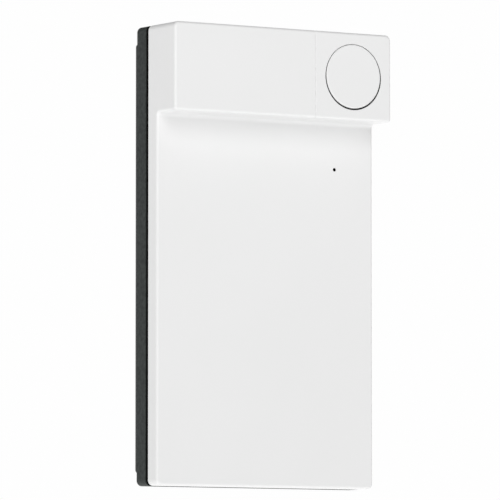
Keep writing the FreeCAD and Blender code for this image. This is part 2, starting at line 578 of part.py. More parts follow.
def camera_barrel():
    """Black lens tube, screwed into the socket and centred in the cover's tube."""
    y0 = PANEL_IN + 0.5
    tube = rod_y(PINHOLE_X, PINHOLE_Z, 3.6, y0, BOARD_FRONT - 2.4)
    thread = rod_y(PINHOLE_X, PINHOLE_Z, 3.2, BOARD_FRONT - 2.5, BOARD_FRONT - 1.3)
    bore = rod_y(PINHOLE_X, PINHOLE_Z, 1.4, y0 - 1, y0 + 1)
    chamber = rod_y(PINHOLE_X, PINHOLE_Z, 2.6, y0 + 0.6, 0)
    return clean(cut(join(tube, thread), bore, chamber))


def camera_lens():
    """Small glass lens stack inside the barrel."""
    y0 = PANEL_IN + 0.5 + 0.65
    glass = rod_y(PINHOLE_X, PINHOLE_Z, 2.5, y0, y0 + 2.2)
    return glass.makeFillet(0.5, [e for e in glass.Edges if abs(e.CenterOfMass.y - y0) < 1e-6])


def camera_gasket():
    """Foam ring between the barrel's nose and the back of the panel."""
    return tube_y(PINHOLE_X, PINHOLE_Z, 4.1, 2.0, PANEL_IN - 0.25, PANEL_IN + 0.45)


# ---------------------------------------------------------------- sound
def speaker_gasket():
    ring = tube_y(SPEAKER_X, SPEAKER_Z, SPEAKER_R + 0.4, SPEAKER_R - 1.6, -6.0, -5.2)
    return ring


def speaker_frame():
    """Pressed steel basket of the small loudspeaker, with four windows."""
    flange = rod_y(SPEAKER_X, SPEAKER_Z, SPEAKER_R + 0.4, -6.8, -6.0)
    basket = cone_y(SPEAKER_X, SPEAKER_Z, 9.4, 14.2, -10.6, -6.7)
    solid = join(basket, flange)
    inner = cone_y(SPEAKER_X, SPEAKER_Z, 8.8, 13.6, -10.0, -6.0)
    hub = rod_y(SPEAKER_X, SPEAKER_Z, 13.6, -6.9, -5)
    solid = cut(solid, inner, hub)
    windows = []
    for i in range(4):
        slot = box(10.2, 13.2, -9.9, -7.2, -3.0, 3.0)
        slot.rotate(V(0, 0, 0), V(0, 1, 0), 45 + 90 * i)
        slot.translate(V(SPEAKER_X, 0, SPEAKER_Z))
        windows.append(slot)
    centre = rod_y(SPEAKER_X, SPEAKER_Z, 4.6, -12, -9)
    return clean(cut(solid, centre, *windows))


def speaker_magnet():
    magnet = rod_y(SPEAKER_X, SPEAKER_Z, 7.6, -12.35, -10.65)
    return magnet.makeChamfer(0.3, [e for e in magnet.Edges])


def speaker_cone():
    """Paper cone with its rubber roll and the dust cap."""
    outer = cone_y(SPEAKER_X, SPEAKER_Z, 5.0, 12.0, -9.3, -6.7)
    inner = cone_y(SPEAKER_X, SPEAKER_Z, 4.4, 11.4, -9.1, -6.5)
    roll = tube_y(SPEAKER_X, SPEAKER_Z, 13.6, 11.5, -6.85, -6.4)
    dust_cap = Part.makeSphere(6.5, V(SPEAKER_X, -14.0, SPEAKER_Z)).common(
        box(-20, 20, -9.4, 0, SPEAKER_Z - 20, SPEAKER_Z + 20))
    plug = rod_y(SPEAKER_X, SPEAKER_Z, 4.9, -9.4, -8.9)
    return clean(join(cut(outer, inner), roll, plug, dust_cap))


def microphone_boot():
    """Rubber boot that seals the microphone to its port under the ledge."""
    z0 = LEDGE + 1.2
    boot = rod_z(MIC_X, MIC_Y, 4.0, z0 + 0.02, z0 + 6.0)
    pocket = rod_z(MIC_X, MIC_Y, 3.0, z0 + 1.6, z0 + 7)
    return clean(cut(boot, pocket, rod_z(MIC_X, MIC_Y, 0.8, z0 - 1, z0 + 3)))


def microphone():
    capsule = rod_z(MIC_X, MIC_Y, 2.95, LEDGE + 2.85, LEDGE + 5.6)
    return capsule.makeChamfer(0.25, [e for e in capsule.Edges])


# ---------------------------------------------------------------- wiring
def terminal_block():
    """Six-way screw terminal, facing the wall through the cable window."""
    z = CABLE_Z
    body = box(-18, 18, -11.4, -2.7, z - 6, z + 6)
    body = join(body, box(-21, 21, BOARD_FRONT - 1.2, BOARD_FRONT, z - 9, z + 9))
    cuts = []
    for i in range(TERMINAL_WAYS):
        x = (i - (TERMINAL_WAYS - 1) / 2) * TERMINAL_PITCH
        cuts.append(rod_y(x, z + 2.8, 1.7, -4.8, -1))
        cuts.append(round_box(x - 1.7, x + 1.7, -8, -1, z - 4.2, z - 0.9, 0.5))
    return clean(cut(body, *cuts))


def terminal_screws():
    screws = []
    for i in range(TERMINAL_WAYS):
        x = (i - (TERMINAL_WAYS - 1) / 2) * TERMINAL_PITCH
        screw = rod_y(x, CABLE_Z + 2.8, 1.6, -4.8, -3.3)
        screws.append(clean(cut(screw, box(x - 1.7, x + 1.7, -3.9, -3, CABLE_Z + 2.5, CABLE_Z + 3.1))))
    return Part.makeCompound(screws)


def wifi_antenna():
    """Flexible aerial stuck to the inside of the header's top wall."""
    z1 = TOP - WALL
    sheet = box(-42, -4, -25, -18, z1 - 0.35, z1 - 0.02)
    slots = [box(-38 + i * 6, -35 + i * 6, -23.5, -19.5, z1 - 1, z1 + 1) for i in range(5)]
    return clean(cut(sheet, *slots))


def antenna_lead():
    """Thin coaxial lead from the aerial to the radio module."""
    z1 = TOP - WALL - 0.4
    path = [(-12, -24.4, z1 - 0.65), (-30, -24.4, z1 - 0.65), (-30, -24.4, 74), (-30, BOARD_FRONT - 2.5, 74)]
    return bent_tube(path, 0.6, 3.0)


def speaker_lead():
    """Twin lead from the loudspeaker's tag to the main board."""
    return bent_tube([(11, -6.85, SPEAKER_Z + 11.2), (11, -10.8, SPEAKER_Z + 11.2), (-6, -10.8, -50),
                      (-6, -9, -44.8)], 0.7, 2.0)


def microphone_lead():
    path = [(MIC_X, MIC_Y, LEDGE + 5.7), (MIC_X, MIC_Y, 68), (-15.5, -19, 77.5),
            (-15.5, BOARD_FRONT - 4.1, 77.5)]
    return bent_tube(path, 0.6, 2.2)


def ribbon_cable():
    """Flat flexible cable from the switch board to the main board, folded once."""
    x0, x1 = RIBBON_X - 4, RIBBON_X + 4
    t = 0.3
    y_in, y_out = SWITCH_BOARD_BACK + 0.05, BOARD_FRONT - 1.2
    z_top, z_bottom = BUTTON_Z + 1.5, 59.6
    pts = [(y_in, z_top + 2), (y_in, z_top - t), (y_in + 3.0, z_top - 2.2), (-10.6, z_top - 2.2),
           (-9.2, z_top - 3.6), (-9.2, 62.0), (-8.3, z_bottom), (-8.0, z_bottom),
           (-8.0, z_bottom + t), (-8.1, z_bottom + t), (-8.9, 62.2), (-8.9, z_top - 3.4),
           (-10.4, z_top - 1.9), (y_in + 3.1, z_top - 1.9), (y_in + t, z_top), (y_in + t, z_top + 2)]
    return polygon_prism([(x0, y, z) for y, z in pts], (x1 - x0, 0, 0))


# ---------------------------------------------------------------- write one file for each node
NODES = [front_cover, button_block, push_button, button_spring, switch_body, switch_plunger, switch_board,
         block_screws, rear_housing, perimeter_gasket, cover_screws, window_seal, wall_plate, security_screw,
         main_board, board_screws, processor_shield, processor_chip, radio_module, board_chips,
         power_capacitors, power_transformer, wire_connectors, camera_board_socket, image_sensor,
         camera_barrel, camera_lens, camera_gasket, speaker_gasket, speaker_frame, speaker_magnet,
         speaker_cone, microphone_boot, microphone, terminal_block, terminal_screws, wifi_antenna,
         antenna_lead, speaker_lead, microphone_lead, ribbon_cable]

os.makedirs("parts", exist_ok=True)
for make in NODES:
    shape = make()
    name = make.__name__
    bounds = shape.BoundBox
    print(f"{name:20s} solids {len(shape.Solids)} valid {shape.isValid()} volume {shape.Volume:9.1f} "
          f"y {bounds.YMin:7.2f} {bounds.YMax:7.2f}")
    shape.exportStep(f"parts/{name}.step")
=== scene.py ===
# %% [markdown]
# A video doorbell in white plastic, seen as a lesson in small steps.
# The model's rigid parts come ready-made, at their real size, as a fixed frame. This file gives
# them their finishes, builds the small pieces that are easier in mesh code, and sets up a studio.
# The frame is loaded first, because every later size and place is read from it.

# %% load the frame
import json
import math

import bpy
import bmesh
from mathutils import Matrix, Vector


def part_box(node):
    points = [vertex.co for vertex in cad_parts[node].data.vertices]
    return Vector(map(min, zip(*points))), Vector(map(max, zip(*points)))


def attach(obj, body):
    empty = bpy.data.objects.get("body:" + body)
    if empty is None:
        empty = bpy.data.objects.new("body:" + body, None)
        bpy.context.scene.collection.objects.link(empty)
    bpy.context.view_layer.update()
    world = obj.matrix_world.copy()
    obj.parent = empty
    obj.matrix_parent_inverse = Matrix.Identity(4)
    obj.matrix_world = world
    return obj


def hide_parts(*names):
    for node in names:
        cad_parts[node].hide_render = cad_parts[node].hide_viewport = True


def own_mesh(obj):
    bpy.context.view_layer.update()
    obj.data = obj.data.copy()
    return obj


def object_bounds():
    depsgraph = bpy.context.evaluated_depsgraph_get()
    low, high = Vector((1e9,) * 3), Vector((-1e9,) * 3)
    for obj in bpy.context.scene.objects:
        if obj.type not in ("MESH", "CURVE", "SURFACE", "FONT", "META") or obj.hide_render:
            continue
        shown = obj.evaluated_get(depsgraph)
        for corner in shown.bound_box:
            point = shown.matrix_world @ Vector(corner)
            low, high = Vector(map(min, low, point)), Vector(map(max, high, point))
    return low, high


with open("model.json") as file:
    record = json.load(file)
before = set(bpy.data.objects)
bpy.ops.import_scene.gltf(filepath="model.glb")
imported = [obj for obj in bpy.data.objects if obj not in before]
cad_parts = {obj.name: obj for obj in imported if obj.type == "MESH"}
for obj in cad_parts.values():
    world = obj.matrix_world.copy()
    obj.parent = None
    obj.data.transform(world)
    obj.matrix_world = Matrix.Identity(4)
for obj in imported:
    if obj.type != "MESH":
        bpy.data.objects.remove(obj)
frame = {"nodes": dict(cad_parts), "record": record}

cad_low, cad_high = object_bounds()
nodes = frame["nodes"]
MM = 0.001
print("the doorbell measures", [round((b - a) / MM, 1) for a, b in zip(cad_low, cad_high)], "mm")

# %% [markdown]
# Shader nodes are hard to read as a list of links. A formula is easier: "1 - mask" says what it
# does. One small class holds a node's output and turns the usual operators into Math nodes, so a
# finish can be written the way it would be said aloud. Reflected operators are there because
# the number may stand on the left. Any other node is made by one method, which first sets the
# node's settings and then its sockets, each with a value or with another output.

# %% a socket that can be written in a formula
class Socket:
    """One output of a shader node, which can be added, subtracted, multiplied and handed on."""

    def __init__(self, tree, output=None):
        self.tree, self.output = tree, output

    def node(self, kind, settings=None, sockets=None, take=0):
        """Make a node, set its settings, fill its sockets, and hold one of its outputs."""
        made = self.tree.nodes.new("ShaderNode" + kind)
        for name, value in (settings or {}).items():
            if name == "stops":
                self.set_stops(made.color_ramp, value)
            else:
                setattr(made, name, value)
        for name, value in (sockets or {}).items():
            if isinstance(value, Socket):
                self.tree.links.new(value.output, made.inputs[name])
            else:
                made.inputs[name].default_value = value
        return Socket(self.tree, made.outputs[take])

    @staticmethod
    def set_stops(ramp, stops):
        """A ramp starts with two stops, so the first two are moved and the rest are added."""
        for index, (place, shade) in enumerate(stops):
            if index >= len(ramp.elements):
                ramp.elements.new(place)
            ramp.elements[index].position = place
            ramp.elements[index].color = (shade, shade, shade, 1)

    def math(self, operation, *values):
        return self.node("Math", {"operation": operation}, dict(enumerate(values)))

    def __add__(self, other):
        return self.math("ADD", self, other)

    def __sub__(self, other):
        return self.math("SUBTRACT", self, other)

    def __mul__(self, other):
        return self.math("MULTIPLY", self, other)

    def __rsub__(self, other):
        return self.math("SUBTRACT", other, self)

    __radd__ = __add__
    __rmul__ = __mul__

    def fraction(self):
        """What is left after the whole number, which turns a slope into a saw of equal teeth."""
        return self.math("FRACT", self)

    def between(self, start, end, low, high):
        """A soft step from low at start to high at end."""
        return self.node("MapRange", {"interpolation_type": "SMOOTHSTEP"},
                         {"Value": self, "From Min": start, "From Max": end,
                          "To Min": low, "To Max": high})

    def axis(self, number):
        """One of a vector's three numbers."""
        return self.node("SeparateXYZ", {}, {0: self}, take=number)

    def blend(self, low, high):
        """A colour between low and high, where this value is the share of high."""
        return self.node("Mix", {"data_type": "RGBA"}, {0: self, 6: low, 7: high}, take=2)

    def scaled(self, factor):
        """A vector made longer, for texture coordinates."""
        return self.node("VectorMath", {"operation": "MULTIPLY"}, {0: self, 1: factor})


print("Socket is ready")

# %% [markdown]
# Every finish below starts the same way: a principled shader, the place of each surface point in
# millimetres, and a few noise patterns that are sized in millimetres too. The place comes from
# the object's own coordinates. All the rigid parts keep their origin at the wall face, so one
# pattern runs on from one part to the next, and the grain is the same size on all of them.

# %% a blank finish and its patterns
CELL_SOFTNESS = 0.6


def rgb(red, green, blue):
    return (red, green, blue, 1)


class Finish:
    """A new material with a principled shader, and the patterns that finishes share."""

    def __init__(self, name, **constants):
        self.material = bpy.data.materials.new(name)
        self.material.use_nodes = True
        self.tree = self.material.node_tree
        self.shader = self.tree.nodes["Principled BSDF"]
        for socket, value in constants.items():
            self.shader.inputs[socket.replace("_", " ")].default_value = value
        self.place = Socket(self.tree).node("TexCoord", take=3).scaled((1 / MM,) * 3)

    def noise(self, size, detail=3.0, rough=0.5):
        """Soft random values with features about size millimetres across."""
        return self.place.node("TexNoise", {}, {0: self.place, "Scale": 1 / size,
                                                "Detail": detail, "Roughness": rough})

    def pits(self, size):
        """Small rounded cells, size millimetres apart, like a spark-eroded mould leaves."""
        return self.place.node("TexVoronoi", {"feature": "SMOOTH_F1"},
                               {0: self.place, "Scale": 1 / size, "Smoothness": CELL_SOFTNESS})

    def mask(self, value, start, end, low=0.0, high=1.0):
        """A pattern that is low up to start, high from end on, and grey between them."""
        return value.node("ValToRGB", {"stops": ((start, low), (end, high))}, {0: value})

    def put(self, socket, value):
        self.tree.links.new(value.output, self.shader.inputs[socket])

    def emboss(self, height, depth_mm, strength):
        """Feed a height pattern to the normal through one Bump node."""
        bump = height.node("Bump", {}, {"Height": height, "Distance": depth_mm * MM,
                                        "Strength": strength})
        self.put("Normal", bump)


print("Finish is ready")

# %% [markdown]
# The white shell is injection-moulded plastic with a fine satin texture from the mould. From arm's
# length it looks plain, so the pattern has to be very small: grains of a third of a millimetre,
# a few microns deep, that only soften the reflections. One wide and one fine noise, both weak,
# keep the white from being perfectly even, and a third one makes the shine vary a little.

# %% white satin plastic
DRIFT_MM, SPECK_MM, SMEAR_MM, CELL_MM = 38, 0.9, 6, 0.32
DIMMED = (0.985, 0.987, 0.985)
SMEAR_RANGE = 0.08
def white_plastic(name, shade, roughness):
    finish = Finish(name, IOR=1.49)
    drift, speck = finish.noise(DRIFT_MM, detail=2), finish.noise(SPECK_MM, detail=2)
    tone = finish.mask(drift * 0.8 + speck * 0.2, 0.3, 0.7)
    low = rgb(*(shade * dimming for dimming in DIMMED))
    finish.put("Base Color", tone.blend(low, rgb(shade, shade, shade)))
    smears = finish.noise(SMEAR_MM, detail=4) * SMEAR_RANGE
    finish.put("Roughness", smears + (roughness - SMEAR_RANGE / 2))
    grain = finish.pits(CELL_MM) * 0.6 + finish.noise(CELL_MM / 2, detail=1) * 0.4
    finish.emboss(grain, depth_mm=0.006, strength=0.55)
    return finish.material


WHITE, BUTTON_LIFT = 0.815, 1.005
cover_white = white_plastic("cover_white", WHITE, 0.42)
button_white = white_plastic("button_white", WHITE * BUTTON_LIFT, 0.36)
print("white finishes:", cover_white.name, button_white.name)

# %% [markdown]
# The tray behind the cover is anthracite plastic with a coarser grain, so that scratches from the
# wall don't show. The grain is deep enough to make the side look a little mottled. Dust lightens
# it in specks of about a millimetre, a mix of two greys that is driven by a noise of its own and
# by the height of the grain together.

# %% anthracite grained plastic
TRAY_CELL_MM, TRAY_LEATHER_MM, TRAY_DUST_MM = 0.55, 0.35, 1.4
TRAY_DARKEST, TRAY_LIGHTEST = rgb(0.005, 0.008, 0.008), rgb(0.028, 0.034, 0.032)


def anthracite_plastic():
    finish = Finish("anthracite_grain", IOR=1.36)
    height = finish.pits(TRAY_CELL_MM) * 0.55 + finish.noise(TRAY_LEATHER_MM, rough=0.6) * 0.45
    dust = finish.mask(finish.noise(TRAY_DUST_MM, detail=4) * 0.65 + height * 0.35, 0.38, 0.62)
    finish.put("Base Color", dust.blend(TRAY_DARKEST, TRAY_LIGHTEST))
    finish.put("Roughness", height * 0.16 + 0.46)
    finish.emboss(height, depth_mm=0.03, strength=0.8)
    return finish.material


tray_dark = anthracite_plastic()
print("tray finish:", tray_dark.name)

# %% [markdown]
# Rubber seals have almost no shine and pick up fine dust. The gasket in the joint is real black
# rubber, but the colour here is darker than plain rubber, as painted shade, because the joint has
# to read as a clean black line. High roughness keeps it dull.

# %% black rubber
TALC_MM, RUBBER_SKIN_MM, RUBBER_GRAIN_MM = 2.2, 0.8, 0.25
# Both shades lie below plain black rubber: partly the rubber's own colour, partly painted shade.
RUBBER_DARKEST, RUBBER_LIGHTEST = rgb(0.002, 0.002, 0.002), rgb(0.006, 0.006, 0.006)


def black_rubber():
    finish = Finish("seal_rubber_and_painted_shade", IOR=1.22)
    talc = finish.mask(finish.noise(TALC_MM, detail=5), 0.45, 0.8)
    finish.put("Base Color", talc.blend(RUBBER_DARKEST, RUBBER_LIGHTEST))
    finish.put("Roughness", finish.noise(RUBBER_SKIN_MM) * 0.15 + 0.75)
    finish.emboss(finish.noise(RUBBER_GRAIN_MM), depth_mm=0.012, strength=0.6)
    return finish.material


# One near-black finish serves the real gasket and the painted shade of the joint linings.
rubber_and_painted_shade = black_rubber()
print("seal finish:", rubber_and_painted_shade.name)

# %% [markdown]
# Metals in this unit are plain: zinc-plated screws, tinned cans over the radio and processor, a
# powder-coated wall plate. Plated screws have a faint yellow and blue cast and turning marks. A
# powder coat is a thick paint with an orange-peel skin: soft dimples about a millimetre across.

# %% plated and coated metals
STAIN_MM = 1.6
PEEL_MM, FLECK_MM, COAT_CLOUD_MM = 1.1, 0.3, 3.0


def plated_metal(name, dull, bright, roughness, streak):
    """A metal whose marks stand streak to the millimetre, with one number for each axis."""
    finish = Finish(name, Metallic=1.0)
    marks = finish.place.node("TexNoise", {}, {0: finish.place.scaled(streak), "Scale": 1.0,
                                               "Detail": 4.0})
    stain = finish.mask(finish.noise(STAIN_MM, detail=4), 0.3, 0.7)
    finish.put("Base Color", stain.blend(rgb(*dull), rgb(*bright)))
    finish.put("Roughness", marks * 0.18 + stain * 0.06 + (roughness - 0.1))
    finish.emboss(marks, depth_mm=0.006, strength=0.5)
    return finish.material


def powder_coat():
    finish = Finish("powder_coat", IOR=1.5, Coat_Weight=0.15)
    peel = finish.noise(PEEL_MM, detail=2)
    fleck = finish.mask(finish.noise(FLECK_MM, detail=1), 0.55, 0.75)
    finish.put("Base Color", fleck.blend(rgb(0.028, 0.030, 0.032), rgb(0.050, 0.053, 0.056)))
    finish.put("Roughness", finish.noise(COAT_CLOUD_MM) * 0.12 + 0.42)
    finish.emboss(peel * 0.8 + fleck * 0.2, depth_mm=0.05, strength=0.6)
    return finish.material


zinc = plated_metal("zinc_plate", (0.50, 0.51, 0.52), (0.72, 0.71, 0.66), 0.38, (0.4, 6.0, 0.4))
tin = plated_metal("tinned_steel", (0.56, 0.56, 0.55), (0.74, 0.74, 0.72), 0.34, (0.5, 5.0, 5.0))
can_aluminium = plated_metal("can_aluminium", (0.66, 0.66, 0.67), (0.80, 0.80, 0.81), 0.3,
                             (6, 0.5, 6))
spring_wire = plated_metal("spring_wire", (0.36, 0.36, 0.37), (0.55, 0.55, 0.56), 0.3, (5, 5, 5))
plate_coat = powder_coat()
print("metal finishes:", [m.name for m in (zinc, tin, can_aluminium, spring_wire, plate_coat)])

# %% [markdown]
# A circuit board is green lacquer over copper. The copper tracks show as slightly raised, slightly
# lighter lines. The fraction of the place across gives equal upright stripes, a slow noise bends
# them, and a second set crosses them. Patches of noise decide which of the two sets shows.

# %% circuit board
COLUMNS_PER_MM, ROWS_PER_MM, ZONE_MM = 0.9, 0.7, 16
LACQUER, LACQUER_ON_COPPER = rgb(0.010, 0.075, 0.035), rgb(0.018, 0.130, 0.058)


def circuit_board():
    finish = Finish("green_circuit_board", IOR=1.55, Coat_Weight=0.4)
    columns = finish.place.axis(0) * COLUMNS_PER_MM + finish.noise(9, detail=0) * 3.0
    rows = finish.place.axis(2) * ROWS_PER_MM + finish.noise(14, detail=0) * 4.0
    zone = finish.mask(finish.noise(ZONE_MM, detail=1), 0.48, 0.5)
    upright_lines = finish.mask(columns.fraction(), 0.45, 0.5) * zone
    level_lines = finish.mask(rows.fraction(), 0.5, 0.55) * (1 - zone)
    lines = upright_lines + level_lines
    finish.put("Base Color", lines.blend(LACQUER, LACQUER_ON_COPPER))
    finish.put("Roughness", finish.noise(4) * 0.1 + 0.3)
    finish.emboss(lines, depth_mm=0.03, strength=0.7)
    return finish.material


board_green = circuit_board()
print("board finish:", board_green.name)

# %% [markdown]
# The rest of the inside is small moulded and printed parts. One recipe covers the moulded ones: a
# colour, a slightly different second colour in soft patches, and a grain. The lens is real glass,
# with a thin coating that gives a violet reflection.

# %% moulded small parts, film, paper and glass
PATCH_MM, HAZE_MM = 3.5, 1.0


def moulded(name, dark, light, roughness, grain_mm=0.4, depth_mm=0.01):
    finish = Finish(name, IOR=1.5)
    patch = finish.mask(finish.noise(PATCH_MM, detail=4), 0.35, 0.7)
    finish.put("Base Color", patch.blend(rgb(*dark), rgb(*light)))
    finish.put("Roughness", patch * 0.1 + (roughness - 0.05))
    finish.emboss(finish.pits(grain_mm) * 0.5 + finish.noise(grain_mm * 0.5) * 0.5, depth_mm, 0.6)
    return finish.material


def lens_glass():
    finish = Finish("lens_glass", Transmission_Weight=1.0, IOR=1.52, Coat_Weight=0.6)
    haze = finish.mask(finish.noise(HAZE_MM), 0.4, 0.8)
    finish.put("Base Color", haze.blend(rgb(0.55, 0.50, 0.75), rgb(0.62, 0.58, 0.80)))
    finish.put("Roughness", haze * 0.02 + 0.01)
    return finish.material


black_moulding = moulded("black_moulding", (0.012, 0.012, 0.013), (0.022, 0.022, 0.024), 0.5)
chip_epoxy = moulded("chip_epoxy", (0.016, 0.016, 0.018), (0.030, 0.030, 0.032), 0.6, 0.2)
natural_nylon = moulded("natural_nylon", (0.62, 0.58, 0.47), (0.70, 0.66, 0.56), 0.45)
terminal_green = moulded("terminal_green", (0.010, 0.090, 0.035), (0.016, 0.130, 0.055), 0.4)
aerial_film = moulded("aerial_film", (0.14, 0.055, 0.010), (0.22, 0.090, 0.018), 0.3, 1.5)
lead_sheath = moulded("lead_sheath", (0.010, 0.010, 0.010), (0.020, 0.020, 0.020), 0.45)
ribbon_film = moulded("ribbon_film", (0.60, 0.61, 0.63), (0.72, 0.73, 0.75), 0.35, 1.0)
cone_paper = moulded("cone_paper", (0.018, 0.017, 0.016), (0.040, 0.038, 0.036), 0.85, 0.5, 0.06)
coated_lens = lens_glass()
print("small finishes made:", len(bpy.data.materials))

# %% [markdown]
# The record names a material slot for each part, so the finishes are matched to slots once, and
# each part gets the finish of its slot. That keeps one kind of plastic the same everywhere.

# %% dress the rigid parts
FINISHES = {
    "white_plastic": cover_white, "button_plastic": button_white, "anthracite_plastic": tray_dark,
    "black_rubber": rubber_and_painted_shade, "coated_steel": plate_coat, "zinc_steel": zinc,
    "spring_steel": spring_wire, "black_plastic": black_moulding, "circuit_board": board_green,
    "chip_plastic": chip_epoxy, "tinned_steel": tin, "aluminium_can": can_aluminium,
    "connector_plastic": natural_nylon, "lens_glass": coated_lens, "speaker_paper": cone_paper,
    "terminal_plastic": terminal_green, "antenna_film": aerial_film, "lead_sheath": lead_sheath,
    "ribbon_film": ribbon_film,
}
subparts = frame["record"]["subparts"]
for part in subparts:
    for material_slot in nodes[part["node"]].material_slots:
        material_slot.material = FINISHES[part["material_slot"]]
print("dressed", len(subparts), "parts in", len(FINISHES), "finishes")

# %% [markdown]
# Each small piece added to the model is a row of closed outlines with equally many points, joined
# to one another with four-sided faces. A wire is an open row with a cap on each end. A ring or a
# sleeve is a row that comes back to its first outline. When a piece is done it gets a finish and
# the body that it rides on.

# %% stitching outlines into pieces
def stitch(mesh, loops):
    """Join each outline to the next one in the list."""
    for one, other in zip(loops, loops[1:]):
        for k in range(len(one)):
            after = (k + 1) % len(one)
            mesh.faces.new((one[k], one[after], other[after], other[k]))


def finish_mesh(name, mesh, smooth=True):
    """Turn a bmesh into an object with outward faces, and smooth it."""
    bmesh.ops.recalc_face_normals(mesh, faces=mesh.faces)
    data = bpy.data.meshes.new(name)
    mesh.to_mesh(data)
    mesh.free()
    if smooth:
        data.polygons.foreach_set("use_smooth", [True] * len(data.polygons))
    made = bpy.data.objects.new(name, data)
    bpy.context.scene.collection.objects.link(made)
    return made


def adopt(piece, body, material):
    """Give a new piece its finish, and let it ride on a body."""
    piece.data.materials.append(material)
    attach(piece, body)
    print("made", piece.name, "with", len(piece.data.vertices), "points")


def wire_along(name, points, radius, sides=10):
    """A closed round wire through a list of points."""
    mesh = bmesh.new()
    turns = [2 * math.pi * k / sides for k in range(sides)]
    loops, side = [], None
    for index, point in enumerate(points):
        before = points[max(index - 1, 0)]
        after = points[min(index + 1, len(points) - 1)]
        along = (after - before).normalized()
        side = side or along.orthogonal()
        side = (side - along * side.dot(along)).normalized()
        lift = along.cross(side)
        spokes = [side * math.cos(turn) + lift * math.sin(turn) for turn in turns]
        loops.append([mesh.verts.new(point + spoke * radius) for spoke in spokes])
    stitch(mesh, loops)
    mesh.faces.new(loops[0][::-1])
    mesh.faces.new(loops[-1])
    return finish_mesh(name, mesh)


print("wires can be made")

# %% [markdown]
# In the real unit the return spring is the one part that changes shape: it shortens as the button
# goes in. It is a round wire along a helix whose first and last turns lie flat on each other, so
# that it stands square on the board. The turns between them climb evenly. The spring keeps a mesh
# of its own.

# %% the button's return spring
WIRE_RADIUS = 0.3 * MM
LIVE_TURNS, FLAT_TURNS, STEPS = 4.0, 1.0, 28
spring_low, spring_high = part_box("button_spring")
board_low, board_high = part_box("switch_board")
spring_middle = (spring_low + spring_high) / 2
spring_radius = (spring_high.x - spring_low.x) / 2 - WIRE_RADIUS
spring_back = board_low.y - WIRE_RADIUS
spring_front = spring_low.y + WIRE_RADIUS
flat_rise = 2 * WIRE_RADIUS
live_length = spring_front - spring_back + 2 * flat_rise


def spring_point(turn):
    """A point of the helix: two flat ends that rise by one wire each, and a climb between."""
    climb = min(max((turn - FLAT_TURNS) / LIVE_TURNS, 0), 1)
    flat_turns_done = min(turn, FLAT_TURNS) + max(turn - FLAT_TURNS - LIVE_TURNS, 0)
    y = spring_back + climb * live_length - flat_rise * flat_turns_done / FLAT_TURNS
    angle = 2 * math.pi * turn
    return Vector((spring_middle.x + spring_radius * math.cos(angle), y,
                   spring_middle.z + spring_radius * math.sin(angle)))


steps = range(int((LIVE_TURNS + 2 * FLAT_TURNS) * STEPS) + 1)
spring_points = [spring_point(step / STEPS) for step in steps]
return_spring = wire_along("return_spring", spring_points, WIRE_RADIUS)
adopt(return_spring, "unit", spring_wire)
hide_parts("button_spring")
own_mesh(return_spring)

# %% [markdown]
# Three joints have to read as clean black lines: the one round the cover, the one round the button
# and the pin-hole. Light that falls between two white walls bounces to and fro and turns grey, so
# each joint is lined with thin black pieces that paint the shade in. A lining lies between two
# outlines, and each outline stands at a depth of its own. The outlines are a rounded rectangle or
# a circle.

# %% outlines and sleeves
QUARTERS = ((1, 1), (-1, 1), (-1, -1), (1, -1))


def circle(x, z, radius, count=96):
    turns = [2 * math.pi * k / count for k in range(count)]
    return [(x + radius * math.cos(turn), z + radius * math.sin(turn)) for turn in turns]


def rounded_rectangle(half_width, half_height, radius, per_corner=10):
    """The outline of a rounded rectangle round the origin, corner after corner."""
    points = []
    for quarter, (sign_x, sign_z) in enumerate(QUARTERS):
        for k in range(per_corner + 1):
            turn = math.pi / 2 * (quarter + k / per_corner)
            points.append((sign_x * (half_width - radius) + radius * math.cos(turn),
                           sign_z * (half_height - radius) + radius * math.sin(turn)))
    return points


def sleeve(name, outlines, smooth):
    """A closed piece from outlines and their depths, which come back to the first one."""
    mesh = bmesh.new()
    loops = [[mesh.verts.new((x, y, z)) for x, z in outline] for outline, y in outlines]
    stitch(mesh, loops + loops[:1])
    return finish_mesh(name, mesh, smooth)


def band(name, outer, inner, y_front, y_back):
    """A ring with a rectangular section between two outlines."""
    corners = ((outer, y_front), (outer, y_back), (inner, y_back), (inner, y_front))
    return sleeve(name, corners, smooth=False)


print("bands can be made")

# %% [markdown]
# The gasket in the cover's joint gets two thin black rings of painted shade, one against each face
# of it. One covers the back rim of the white cover, the other the front rim of the tray, and both
# stop just short of the outside. Seen from the side they make the whole depth of the joint black.

# %% black rings of painted shade in the cover's joint
LIP_INSET, LIP_THICK, LIP_CLEAR = 0.15 * MM, 0.2 * MM, 0.01 * MM
COVER_CORNER, GASKET_CORNER = 2.2 * MM, 1.6 * MM
gasket_low, gasket_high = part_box("perimeter_gasket")
lip_outer = rounded_rectangle(cad_high.x - LIP_INSET, cad_high.z - LIP_INSET,
                              COVER_CORNER - LIP_INSET)
lip_inner = rounded_rectangle(gasket_high.x, gasket_high.z, GASKET_CORNER)
# Both rings are painted shade that darkens the rims inside the cover's joint.
lip_fronts = {"painted_shade_lip_front": gasket_low.y + LIP_CLEAR,
              "painted_shade_lip_back": gasket_high.y - LIP_CLEAR - LIP_THICK}
for lip_name, lip_front in lip_fronts.items():
    adopt(band(lip_name, lip_outer, lip_inner, lip_front, lip_front + LIP_THICK),
          "unit", rubber_and_painted_shade)
